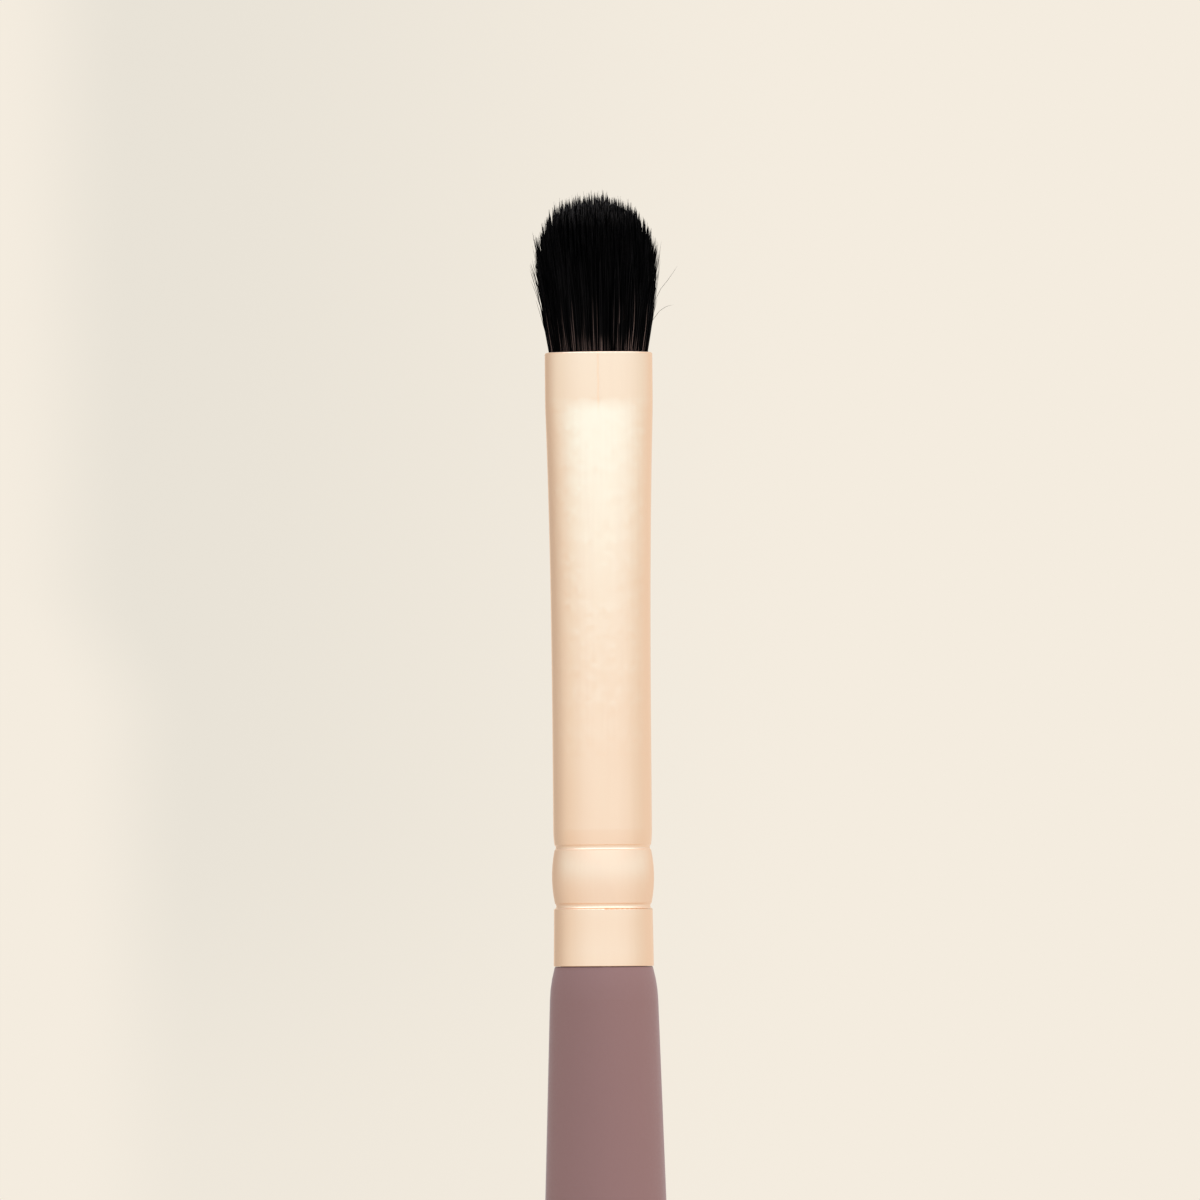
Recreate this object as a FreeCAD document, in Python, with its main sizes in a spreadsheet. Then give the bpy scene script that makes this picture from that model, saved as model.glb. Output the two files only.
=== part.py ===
# An eyeshadow brush: a domed tuft of hair, bound and glued into a crimped metal ferrule on a turned handle.
# It stands tail down on its own axis. +Z runs from the tail to the tuft, the origin is the middle of the
# tail's end, and X is the wide way of the oval mouth. Lengths are millimetres.
import FreeCAD, Part
import math
import os
import Sketcher

# Driving sizes: name, millimetres, and what the size is.
SIZES = (
    ("handle_length", 120.0, "tail end to the ferrule's seat"),
    ("tail_diameter", 5.0, "straight stretch at the tail"),
    ("tail_length", 24.0, "tail end to the end of that stretch"),
    ("belly_reach", 16.0, "widest point of the handle to the foot of the cone above it"),
    ("cone_length", 18.0, "straight cone between the belly and the shoulder"),
    ("cone_rise", 0.57, "how far the cone widens on each side"),
    ("shoulder_drop", 2.1, "height of the rounded shoulder under its top edge"),
    ("shoulder_rise", 0.32, "how far the shoulder rounds out on each side"),
    ("shoulder_step", 0.05, "shoulder's top edge to the ferrule's outside"),
    ("edge_round", 0.12, "rounding of that edge"),
    ("tenon_reach", 4.4, "how far the tenon goes on above the upper crimp"),
    ("tenon_chamfer", 0.5, "bevel on the tenon's end"),
    ("seam_gap", 0.02, "open seam between the shoulder and the ferrule"),
    ("ferrule_length", 41.0, "foot to rim"),
    ("ferrule_wall", 0.3, "sheet thickness"),
    ("tube_diameter", 6.6, "round part of the ferrule, outside"),
    ("skirt_swell", 0.05, "how far the skirt below the crimps widens towards its foot"),
    ("bead_swell", 0.11, "how far the band between the crimps stands out from the tube"),
    ("lower_crimp", 4.03, "foot to the middle of the lower crimp"),
    ("crimp_spacing", 3.9, "lower crimp to upper crimp"),
    ("roll_length", 1.0, "stretch over which the tube rolls in to the upper crimp"),
    ("lip_length", 0.075, "rounded edge of the skirt at the lower crimp"),
    ("roll_depth", 0.07, "how far it rolls in there"),
    ("groove_width", 0.36, "sharp groove at the bottom of a crimp"),
    ("groove_depth", 0.09, "how far the groove goes in beyond the roll"),
    ("crimp_bite", 0.04, "how far a crimp presses into the tenon"),
    ("round_length", 14.0, "foot to where the tube begins to go oval"),
    ("collar_length", 3.6, "pressed parallel collar at the mouth"),
    ("mouth_widening", 0.6, "how much wider the mouth is than the tube"),
    ("mouth_flattening", 0.8, "how much thinner the mouth is than the tube"),
    ("bond_gap", 0.02, "clearance between pieces that are glued or bound together"),
    ("glue_pool", 0.7, "glue standing on the tenon's end"),
    ("root_depth", 15.0, "rim to the foot of the bound hair"),
    ("root_recess", 0.35, "rim to the top of the bound hair"),
    ("plug_floor", 2.5, "glue below the foot of the hair"),
    ("plug_wall", 0.26, "glue round the thread, where it is thinnest"),
    ("thread_diameter", 0.3, "binding thread"),
    ("thread_gap", 0.45, "open space between two turns of thread"),
    ("thread_margin", 0.5, "tied hair left bare at each end of the winding"),
    ("tuft_length", 10.4, "rim to the tip of the free hair"),
    ("tuft_flare", 0.65, "how far the free hair spreads beyond the mouth on each side"),
    ("dome_height", 3.8, "round top of the tuft"),
    ("flex_height", 0.9, "rim to the line that the free hair bends about"),
    ("flex_clearance", 0.1, "free hair to the mouth and to the bound hair"),
)
COUNTS = (("thread_turns", 5, "turns of thread round the hair"),)

# The tube goes oval slowly at first and fast near the collar: at each height it has gone as large a share of
# the way as that height's own share of the oval part, raised to this power.
OVAL_POWER = 2.5
OVAL_HEIGHT_SHARES = (0.0, 0.3, 0.55, 0.75, 0.9, 0.98)
# From the last of these it goes over into the collar in a soft bend, a parabola tangent to both.
BEND_FOOT_SHARE = OVAL_HEIGHT_SHARES[-1]
BEND_HEIGHT_SHARES = (0.0, 0.5, 1.0)
# The free hair spreads fast above the mouth and then hardly at all.
TRUNK_HEIGHT_SHARES = (0.0, 0.16, 0.42, 1.0)
TRUNK_FLARE_SHARES = (0.0, 0.45, 0.85, 1.0)
# Rounded edges of the ferrule, as shares of its wall.
RIM_ROUND_SHARE = 0.42
FOOT_ROUND_SHARE = 0.2
FULL_TURN = 360
QUARTER_TURN = 90

# Places and radii that follow from the driving sizes, as formulas of the sheet.
PLACES = (
    ("tail_radius", "Sizes.tail_diameter / 2"),
    ("tube_radius", "Sizes.tube_diameter / 2"),
    ("bore_radius", "tube_radius - Sizes.ferrule_wall"),
    ("skirt_radius", "tube_radius + Sizes.skirt_swell"),
    ("roll_radius", "tube_radius - Sizes.roll_depth"),
    ("groove_half", "Sizes.groove_width / 2"),
    ("crimp_depth", "Sizes.roll_depth + Sizes.groove_depth"),
    ("ferrule_foot", "Sizes.handle_length + Sizes.seam_gap"),
    ("rim_height", "ferrule_foot + Sizes.ferrule_length"),
    ("collar_foot", "rim_height - Sizes.collar_length"),
    ("round_top", "ferrule_foot + Sizes.round_length"),
    ("lower_crimp_height", "ferrule_foot + Sizes.lower_crimp"),
    ("upper_crimp_height", "lower_crimp_height + Sizes.crimp_spacing"),
    ("lip_foot", "lower_crimp_height - groove_half - Sizes.lip_length"),
    ("roll_top", "upper_crimp_height + groove_half + Sizes.roll_length"),
    # radii of the wall's curves, each from its half length and its rise
    ("groove_round", "(groove_half ^ 2 + Sizes.groove_depth ^ 2) / (2 * Sizes.groove_depth)"),
    ("bead_half", "Sizes.crimp_spacing / 2 - groove_half"),
    ("bead_rise", "Sizes.bead_swell + Sizes.roll_depth"),
    ("bead_round", "(bead_half ^ 2 + bead_rise ^ 2) / (2 * bead_rise)"),
    ("lip_round", "(Sizes.lip_length ^ 2 + Sizes.roll_depth ^ 2) / (2 * Sizes.roll_depth)"),
    ("roll_round", "(Sizes.roll_length ^ 2 + Sizes.roll_depth ^ 2) / (2 * Sizes.roll_depth)"),
    # handle: shoulder, cone, belly and the long curve down to the tail, each tangent to the next
    ("shoulder_radius", "skirt_radius - Sizes.shoulder_step"),
    ("neck_radius", "shoulder_radius + Sizes.shoulder_rise"),
    ("edge_height", "Sizes.handle_length - Sizes.edge_round"),
    ("neck_height", "edge_height - Sizes.shoulder_drop"),
    ("cone_slope", "Sizes.cone_rise / Sizes.cone_length"),
    ("cone_secant", "sqrt(1 + cone_slope ^ 2)"),
    ("shoulder_reach", "Sizes.shoulder_rise - Sizes.shoulder_drop * cone_slope"),
    ("shoulder_span", "Sizes.shoulder_rise ^ 2 + Sizes.shoulder_drop ^ 2"),
    ("shoulder_round", "shoulder_span * cone_secant / (2 * shoulder_reach)"),
    ("cone_radius", "neck_radius + Sizes.cone_rise"),
    ("cone_foot", "neck_height - Sizes.cone_length"),
    ("belly_radius", "cone_radius + Sizes.belly_reach * (cone_secant - 1) / cone_slope"),
    ("belly_height", "cone_foot - Sizes.belly_reach"),
    ("belly_round", "Sizes.belly_reach * cone_secant / cone_slope"),
    ("taper_length", "belly_height - Sizes.tail_length"),
    ("taper_rise", "belly_radius - tail_radius"),
    ("taper_round", "(taper_length ^ 2 + taper_rise ^ 2) / (4 * taper_rise)"),
    ("taper_middle", "Sizes.tail_length + taper_length / 2"),
    ("taper_radius", "tail_radius + taper_rise / 2"),
    # tenon, dented where the crimps press in
    ("tenon_radius", "bore_radius - crimp_depth + Sizes.crimp_bite"),
    ("tenon_top", "roll_top + Sizes.tenon_reach"),
    ("dent_half", "groove_half + 2 * Sizes.bond_gap"),
    ("dent_depth", "Sizes.crimp_bite + 2 * Sizes.bond_gap"),
    ("dent_round", "(dent_half ^ 2 + dent_depth ^ 2) / (2 * dent_depth)"),
    ("sleeve_foot", "roll_top + Sizes.bond_gap"),
    # oval mouth
    ("mouth_width", "Sizes.tube_diameter + Sizes.mouth_widening"),
    ("mouth_depth", "Sizes.tube_diameter - Sizes.mouth_flattening"),
    ("bore_inset", "2 * Sizes.ferrule_wall"),
    ("bond_inset", "2 * (Sizes.ferrule_wall + Sizes.bond_gap)"),
    ("flex_inset", "2 * (Sizes.ferrule_wall + Sizes.flex_clearance)"),
    ("oval_length", "collar_foot - round_top"),
    ("bend_foot", f"round_top + {BEND_FOOT_SHARE} * oval_length"),
    ("bend_rise_share", f"1 - {BEND_FOOT_SHARE} ^ {OVAL_POWER}"),
    ("bend_slope", f"{OVAL_POWER} * {BEND_FOOT_SHARE} ^ ({OVAL_POWER} - 1) / oval_length"),
    ("bend_length", "2 * bend_rise_share / bend_slope"),
    ("bend_top", "bend_foot + bend_length"),
    # bound hair, thread and glue plug: the glue's wall, the thread and the hair share the bore
    ("root_foot", "rim_height - Sizes.root_depth"),
    ("root_top", "rim_height - Sizes.root_recess"),
    ("thread_pitch", "Sizes.thread_diameter + Sizes.thread_gap"),
    ("winding_length", "thread_pitch * Sizes.thread_turns + Sizes.thread_diameter"),
    ("tied_length", "winding_length + 2 * Sizes.thread_margin"),
    ("thread_foot", "root_foot + Sizes.thread_margin + Sizes.thread_diameter / 2"),
    ("plug_top", "root_foot + tied_length"),
    ("cup_floor", "root_foot - Sizes.bond_gap"),
    ("plug_foot", "cup_floor - Sizes.plug_floor"),
    ("plug_oval_share", f"((plug_top - round_top) / oval_length) ^ {OVAL_POWER}"),
    ("plug_depth", "Sizes.tube_diameter - plug_oval_share * Sizes.mouth_flattening - bond_inset"),
    ("cup_diameter", "plug_depth - 2 * Sizes.plug_wall"),
    ("thread_path", "cup_diameter / 2 - Sizes.bond_gap - Sizes.thread_diameter / 2"),
    ("tied_diameter", "2 * thread_path - Sizes.thread_diameter - 2 * Sizes.bond_gap"),
    # free hair, which bends about a line across the mouth
    ("flex_line", "rim_height + Sizes.flex_height"),
    ("knuckle_width", "mouth_width - flex_inset"),
    ("knuckle_depth", "mouth_depth - flex_inset"),
    ("dome_foot", "rim_height + Sizes.tuft_length - Sizes.dome_height"),
    ("trunk_length", "dome_foot - flex_line"),
)

doc = FreeCAD.newDocument("EyeshadowBrush")


def fill_sheet(name, rows):
    """Makes a spreadsheet: a note, a cell and its alias on each row."""
    sheet = doc.addObject("Spreadsheet::Sheet", name)
    for row, (alias, content, note) in enumerate(rows, start=1):
        sheet.set(f"A{row}", note)
        sheet.set(f"B{row}", content)
        sheet.setAlias(f"B{row}", alias)
    doc.recompute()
    return sheet


fill_sheet("Sizes", [(alias, str(number), note) for alias, number, note in SIZES + COUNTS])
places = fill_sheet("Places", [(alias, "=" + formula, formula) for alias, formula in PLACES])


def value(expression):
    """The number that an expression of the two sheets gives now."""
    return float(places.evalExpression(expression))


def new_body(label):
    body = doc.addObject("PartDesign::Body", label)
    body.Label = label
    return body


def attach(feature, body, plane, height=None):
    """Puts a sketch or a primitive on one of its body's origin planes, at a height where one is given."""
    feature.AttachmentSupport = [(next(f for f in body.Origin.OriginFeatures if f.Role == plane), "")]
    feature.MapMode = "FlatFace"
    if height:
        feature.setExpression("AttachmentOffset.Base.z", height)


def new_sketch(body, name, plane, height=None):
    sketch = body.newObject("Sketcher::SketchObject", name)
    attach(sketch, body, plane, height)
    return sketch


def bind(sketch, name, expression, kind, *geometry):
    """Adds a dimension to a sketch and ties it to an expression of the sheets."""
    number = sketch.addConstraint(Sketcher.Constraint(kind, *geometry, value(expression)))
    sketch.renameConstraint(number, name)
    sketch.setExpression("Constraints." + name, expression)


def pin(sketch, name, geometry, point, across, up):
    """Places a point of a sketch by two expressions, where 0 is on the axis itself."""
    ways = (("across", across, "DistanceX", -2), ("up", up, "DistanceY", -1))
    for way, expression, kind, axis in ways:
        if expression == "0":
            sketch.addConstraint(Sketcher.Constraint("PointOnObject", geometry, point, axis))
        else:
            bind(sketch, f"{name}_{way}", expression, kind, -1, 1, geometry, point)


def arc_between(start, end, radius, side):
    """The short arc from start to end whose centre lies on the given side of the way between them."""
    way = end - start
    left = FreeCAD.Vector(-way.y, way.x, 0).normalize()
    reach = math.sqrt(radius ** 2 - (way.Length / 2) ** 2)
    centre = (start + end) / 2 + left * (reach if side == "left" else -reach)
    first, last = (start, end) if side == "left" else (end, start)
    angles = [math.atan2(point.y - centre.y, point.x - centre.x) for point in (first, last)]
    return Part.ArcOfCircle(Part.Circle(centre, FreeCAD.Vector(0, 0, 1), radius), *angles)


def outline(sketch, corners):
    """Draws a closed outline. A corner is (across, up) where a straight side starts, or
    (across, up, side, radius) where an arc starts whose centre lies on that side of its way.
    All but side are expressions."""
    points = [FreeCAD.Vector(value(corner[0]), value(corner[1]), 0) for corner in corners]
    joints = []
    for number, (across, up, *bend) in enumerate(corners):
        start = points[number]
        end = points[(number + 1) % len(points)]
        if bend:
            side, radius = bend
            geometry = sketch.addGeometry(arc_between(start, end, value(radius), side), False)
            first, last = (1, 2) if side == "left" else (2, 1)
            bind(sketch, f"round_{number}", radius, "Radius", geometry)
        else:
            geometry = sketch.addGeometry(Part.LineSegment(start, end), False)
            first, last = 1, 2
        pin(sketch, f"corner_{number}", geometry, first, across, up)
        joints.append((geometry, first, last))
    for (geometry, _, last), (following, first, _) in zip(joints, joints[1:] + joints[:1]):
        sketch.addConstraint(Sketcher.Constraint("Coincident", geometry, last, following, first))


def add_ellipse(sketch, name, width, depth):
    """Draws an ellipse about the axis, its width along X."""
    major = FreeCAD.Vector(value(width) / 2, 0, 0)
    minor = FreeCAD.Vector(0, value(depth) / 2, 0)
    ellipse = sketch.addGeometry(Part.Ellipse(major, minor, FreeCAD.Vector(0, 0, 0)), False)
    sketch.exposeInternalGeometry(ellipse)
    width_line, depth_line = ellipse + 1, ellipse + 2
    sketch.addConstraint(Sketcher.Constraint("Coincident", ellipse, 3, -1, 1))
    sketch.addConstraint(Sketcher.Constraint("Horizontal", width_line))
    bind(sketch, name + "_width", width, "Distance", width_line)
    bind(sketch, name + "_depth", depth, "Distance", depth_line)


def add_circle(sketch, name, diameter):
    """Draws a circle about the axis."""
    circle = Part.Circle(FreeCAD.Vector(0, 0, 0), FreeCAD.Vector(0, 0, 1), value(diameter) / 2)
    geometry = sketch.addGeometry(circle, False)
    sketch.addConstraint(Sketcher.Constraint("Coincident", geometry, 3, -1, 1))
    bind(sketch, name, diameter, "Diameter", geometry)


def ellipse_sketch(body, name, height, width, depth):
    sketch = new_sketch(body, name, "XY_Plane", height)
    add_ellipse(sketch, "oval", width, depth)
    return sketch


def circle_sketch(body, name, height, diameter):
    sketch = new_sketch(body, name, "XY_Plane", height)
    add_circle(sketch, "round", diameter)
    return sketch


def revolve(body, name, corners):
    """Turns an outline, drawn in the XZ plane, round the brush's axis."""
    sketch = new_sketch(body, name + "_outline", "XZ_Plane")
    outline(sketch, corners)
    feature = body.newObject("PartDesign::Revolution", name)
    feature.Profile = sketch
    feature.ReferenceAxis = (sketch, ["V_Axis"])
    feature.Angle = FULL_TURN
    doc.recompute()


def loft(body, kind, name, sections):
    """Joins sketches by one smooth skin, which is added to the body or cut from it."""
    feature = body.newObject("PartDesign::" + kind, name)
    feature.Profile = sections[0]
    feature.Sections = sections[1:]
    doc.recompute()


def extrude(body, kind, name, sketch, length):
    """Pads a sketch upwards, or pockets it downwards."""
    feature = body.newObject("PartDesign::" + kind, name)
    feature.Profile = sketch
    feature.setExpression("Length", length)
    doc.recompute()


def ellipsoid(body, kind, name, height, width, depth, tall, angles):
    """Adds or cuts an ellipsoid about the axis, or the part of it between two angles of latitude."""
    feature = body.newObject("PartDesign::" + kind, name)
    attach(feature, body, "XY_Plane", height)
    feature.setExpression("Radius1", tall)
    feature.setExpression("Radius2", f"({width}) / 2")
    feature.setExpression("Radius3", f"({depth}) / 2")
    feature.Angle1, feature.Angle2 = angles
    doc.recompute()


def round_edges(body, name, height, radius, beyond="0"):
    """Rounds the closed edges at a height that reach further from the axis than the radius beyond."""
    base = body.Tip
    edges = []
    for number, edge in enumerate(base.Shape.Edges, start=1):
        box = edge.BoundBox
        level = max(abs(z - value(height)) for z in (box.ZMin, box.ZMax)) < value("Sizes.bond_gap")
        if level and edge.isClosed() and edge.Vertexes[0].X > value(beyond):
            edges.append(f"Edge{number}")
    feature = body.newObject("PartDesign::Fillet", name)
    feature.Base = (base, edges)
    feature.setExpression("Radius", radius)
    doc.recompute()


def tube_section(body, name, height, oval_share, inset):
    """One section of the tube, as far oval as its share says, drawn in by an inset across."""
    if not value(oval_share):
        return circle_sketch(body, name, height, f"Sizes.tube_diameter - {inset}")
    width = f"Sizes.tube_diameter + {oval_share} * Sizes.mouth_widening - {inset}"
    depth = f"Sizes.tube_diameter - {oval_share} * Sizes.mouth_flattening - {inset}"
    return ellipse_sketch(body, name, height, width, depth)


def oval_section(body, name, height, inset):
    """A section below the bend, round or oval by its height."""
    oval_share = f"(({height} - Places.round_top) / Places.oval_length) ^ {OVAL_POWER}"
    return tube_section(body, name, height, oval_share, inset)


def oval_sections(body, name, inset):
    """The sections that the oval part of the tube is lofted through."""
    heights = [f"(Places.round_top + {share} * Places.oval_length)" for share in OVAL_HEIGHT_SHARES]
    return [oval_section(body, name, height, inset) for height in heights]


def bend_sections(body, name, inset):
    """The sections that the bend between the oval part and the collar is lofted through."""
    sections = []
    for share in BEND_HEIGHT_SHARES:
        height = f"Places.bend_foot + {share} * Places.bend_length"
        oval_share = f"(1 - Places.bend_rise_share * (1 - {share}) ^ 2)"
        sections.append(tube_section(body, name, height, oval_share, inset))
    return sections


def make_handle():
    """Turned handle: tail, taper, belly, cone and shoulder, and the tenon that the ferrule is crimped on."""
    body = new_body("handle")
    corners = [
        ("0", "0", "left", "Places.tail_radius"),
        ("Places.tail_radius", "Places.tail_radius"),
        ("Places.tail_radius", "Sizes.tail_length", "right", "Places.taper_round"),
        ("Places.taper_radius", "Places.taper_middle", "left", "Places.taper_round"),
        ("Places.belly_radius", "Places.belly_height", "left", "Places.belly_round"),
        ("Places.cone_radius", "Places.cone_foot"),
        ("Places.neck_radius", "Places.neck_height", "left", "Places.shoulder_round"),
        ("Places.shoulder_radius", "Places.edge_height", "left", "Sizes.edge_round"),
        ("Places.shoulder_radius - Sizes.edge_round", "Sizes.handle_length"),
        ("Places.tenon_radius", "Sizes.handle_length"),
    ]
    for crimp in ("Places.lower_crimp_height", "Places.upper_crimp_height"):
        corners += [
            ("Places.tenon_radius", crimp + " - Places.dent_half", "right", "Places.dent_round"),
            ("Places.tenon_radius", crimp + " + Places.dent_half"),
        ]
    corners += [
        ("Places.tenon_radius", "Places.tenon_top - Sizes.tenon_chamfer"),
        ("Places.tenon_radius - Sizes.tenon_chamfer", "Places.tenon_top"),
        ("0", "Places.tenon_top"),
    ]
    revolve(body, "Turning", corners)
    return body


def ferrule_wall_corners():
    """Outline of the round part's wall: up the outside, over two crimps and the bead between them, and down
    the same line inside, where each curve has its centre on the other side of its way."""
    lower, upper = "Places.lower_crimp_height", "Places.upper_crimp_height"
    outside = [
        ("Places.skirt_radius", "Places.ferrule_foot"),
        ("Places.tube_radius", "Places.lip_foot", "left", "Places.lip_round"),
        ("Places.roll_radius", lower + " - Places.groove_half", "right", "Places.groove_round"),
        ("Places.roll_radius", lower + " + Places.groove_half", "left", "Places.bead_round"),
        ("Places.roll_radius", upper + " - Places.groove_half", "right", "Places.groove_round"),
        ("Places.roll_radius", upper + " + Places.groove_half", "left", "Places.roll_round"),
        ("Places.tube_radius", "Places.roll_top"),
        ("Places.tube_radius", "Places.round_top"),
    ]
    other_side = {"left": "right", "right": "left"}
    inside = []
    bend = ()
    for across, up, *next_bend in outside:
        inside.insert(0, (across + " - Sizes.ferrule_wall", up, *bend))
        bend = (other_side[next_bend[0]], next_bend[1]) if next_bend else ()
    return outside + inside


def make_ferrule():
    """Drawn tube: skirt, bead between two crimps, round part, a stretch that goes oval, pressed collar."""
    body = new_body("ferrule")
    revolve(body, "RoundPart", ferrule_wall_corners())
    loft(body, "AdditiveLoft", "OvalPart", oval_sections(body, "OuterOval", "0"))
    loft(body, "AdditiveLoft", "BendPart", bend_sections(body, "OuterBend", "0"))
    loft(body, "SubtractiveLoft", "OvalBore", oval_sections(body, "InnerOval", "Places.bore_inset"))
    loft(body, "SubtractiveLoft", "BendBore", bend_sections(body, "InnerBend", "Places.bore_inset"))
    width, depth = "Places.mouth_width", "Places.mouth_depth"
    collar = ellipse_sketch(body, "CollarSection", "Places.bend_top", width, depth)
    add_ellipse(collar, "bore", width + " - Places.bore_inset", depth + " - Places.bore_inset")
    extrude(body, "Pad", "Collar", collar, "Places.rim_height - Places.bend_top")
    round_edges(body, "Rim", "Places.rim_height", f"{RIM_ROUND_SHARE} * Sizes.ferrule_wall")
    middle = "Places.skirt_radius - Sizes.ferrule_wall / 2"
    round_edges(body, "Foot", "Places.ferrule_foot", f"{FOOT_ROUND_SHARE} * Sizes.ferrule_wall", middle)
    return body


def make_tenon_glue():
    """Thimble of adhesive over the tenon's end, above the crimps."""
    body = new_body("tenon_glue")
    inside = "Places.tenon_radius + Sizes.bond_gap"
    outside = "Places.bore_radius - Sizes.bond_gap"
    corners = [
        (inside, "Places.sleeve_foot"),
        (outside, "Places.sleeve_foot"),
        (outside, "Places.tenon_top + Sizes.glue_pool"),
        ("0", "Places.tenon_top + Sizes.glue_pool"),
        ("0", "Places.tenon_top + Sizes.bond_gap"),
        ("Places.tenon_radius - Sizes.tenon_chamfer", "Places.tenon_top + Sizes.bond_gap"),
        (inside, "Places.tenon_top - Sizes.tenon_chamfer"),
    ]
    revolve(body, "Thimble", corners)
    return body


def make_glue_plug():
    """Cup of epoxy that fills the bore behind the hair and grips its tied end."""
    body = new_body("glue_plug")
    heights = ("Places.plug_foot", "Places.cup_floor", "Places.plug_top")
    sections = [oval_section(body, "PlugSection", height, "Places.bond_inset") for height in heights]
    loft(body, "AdditiveLoft", "Plug", sections)
    cup = circle_sketch(body, "CupSection", "Places.plug_top", "Places.cup_diameter")
    extrude(body, "Pocket", "Cup", cup, "Places.plug_top - Places.cup_floor")
    return body


def make_binding_thread():
    """Thread wound in open turns round the tied end of the hair."""
    body = new_body("binding_thread")
    sketch = new_sketch(body, "ThreadSection", "XZ_Plane")
    centre = FreeCAD.Vector(value("Places.thread_path"), value("Places.thread_foot"), 0)
    circle = Part.Circle(centre, FreeCAD.Vector(0, 0, 1), value("Sizes.thread_diameter") / 2)
    geometry = sketch.addGeometry(circle, False)
    pin(sketch, "centre", geometry, 3, "Places.thread_path", "Places.thread_foot")
    bind(sketch, "thread", "Sizes.thread_diameter", "Diameter", geometry)
    winding = body.newObject("PartDesign::AdditiveHelix", "Winding")
    winding.Profile = sketch
    winding.ReferenceAxis = (sketch, ["V_Axis"])
    winding.Mode = "pitch-turns-angle"
    winding.setExpression("Pitch", "Places.thread_pitch")
    winding.setExpression("Turns", "Sizes.thread_turns")
    doc.recompute()
    return body


def make_hair_root():
    """Bound hair: a tied end, a funnel up to the oval collar, and a hollow that the free hair turns in."""
    body = new_body("hair_root")
    tied = circle_sketch(body, "TiedSection", "Places.root_foot", "Places.tied_diameter")
    extrude(body, "Pad", "TiedEnd", tied, "Places.tied_length")
    waist = circle_sketch(body, "WaistSection", "Places.plug_top", "Places.tied_diameter")
    width, depth = "Places.mouth_width - Places.bond_inset", "Places.mouth_depth - Places.bond_inset"
    mouth = ellipse_sketch(body, "MouthSection", "Places.collar_foot", width, depth)
    loft(body, "AdditiveLoft", "Funnel", [waist, mouth])
    extrude(body, "Pad", "CollarFill", mouth, "Places.root_top - Places.collar_foot")
    ellipsoid(
        body,
        "SubtractiveEllipsoid",
        "Hollow",
        "Places.flex_line",
        "Places.knuckle_width + 2 * Sizes.flex_clearance",
        "Places.knuckle_depth + 2 * Sizes.flex_clearance",
        "Places.knuckle_depth / 2 + Sizes.flex_clearance",
        (-QUARTER_TURN, QUARTER_TURN),
    )
    return body


def make_hair_tuft():
    """Free hair: a round knuckle in the mouth, a trunk that spreads, and a dome."""
    body = new_body("hair_tuft")
    sections = []
    for height_share, flare_share in zip(TRUNK_HEIGHT_SHARES, TRUNK_FLARE_SHARES):
        height = f"Places.flex_line + {height_share} * Places.trunk_length"
        width = f"Places.knuckle_width + 2 * {flare_share} * Sizes.tuft_flare"
        depth = f"Places.knuckle_depth + 2 * {flare_share} * Sizes.tuft_flare"
        sections.append(ellipse_sketch(body, "TrunkSection", height, width, depth))
    loft(body, "AdditiveLoft", "Trunk", sections)
    ellipsoid(
        body,
        "AdditiveEllipsoid",
        "Knuckle",
        "Places.flex_line",
        "Places.knuckle_width",
        "Places.knuckle_depth",
        "Places.knuckle_depth / 2",
        (-QUARTER_TURN, 0),
    )
    ellipsoid(
        body,
        "AdditiveEllipsoid",
        "Dome",
        "Places.dome_foot",
        "Places.knuckle_width + 2 * Sizes.tuft_flare",
        "Places.knuckle_depth + 2 * Sizes.tuft_flare",
        "Sizes.dome_height",
        (0, QUARTER_TURN),
    )
    return body


bodies = [
    make_handle(),
    make_ferrule(),
    make_tenon_glue(),
    make_glue_plug(),
    make_binding_thread(),
    make_hair_root(),
    make_hair_tuft(),
]
doc.recompute()

for feature in doc.Objects:
    if {"Invalid", "Error"} & set(feature.State):
        raise RuntimeError(f"{feature.Label} failed: {feature.State}")
for body in bodies:
    if body.Shape.isNull() or not body.Shape.isValid() or len(body.Shape.Solids) != 1:
        raise RuntimeError(f"{body.Label} isn't one valid solid")

os.makedirs("parts", exist_ok=True)
for body in bodies:
    body.Shape.exportStep(f"parts/{body.Label}.step")
    print(f"{body.Label}: {body.Shape.Volume:.2f} mm3")
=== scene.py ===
# The looks of an eyeshadow brush: satin champagne ferrule, matte mauve handle and a domed tuft of black hair.
# Lengths are metres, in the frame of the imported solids: +Z from tail to tuft, X the wide way of the mouth.
import math
import random

import bpy
import numpy as np
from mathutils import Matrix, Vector, kdtree


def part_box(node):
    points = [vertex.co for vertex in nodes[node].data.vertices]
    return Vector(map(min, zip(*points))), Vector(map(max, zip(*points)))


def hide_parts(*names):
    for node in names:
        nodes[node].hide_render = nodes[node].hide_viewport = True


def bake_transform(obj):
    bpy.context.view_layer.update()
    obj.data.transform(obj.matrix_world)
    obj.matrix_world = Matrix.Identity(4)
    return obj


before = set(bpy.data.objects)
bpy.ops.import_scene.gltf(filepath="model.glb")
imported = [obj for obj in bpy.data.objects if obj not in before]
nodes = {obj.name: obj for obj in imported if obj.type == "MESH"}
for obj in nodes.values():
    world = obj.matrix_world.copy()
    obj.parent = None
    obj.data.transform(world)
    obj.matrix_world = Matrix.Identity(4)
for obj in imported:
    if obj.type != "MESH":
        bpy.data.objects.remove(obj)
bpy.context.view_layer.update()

MM = 0.001
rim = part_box("ferrule")[1].z

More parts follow.
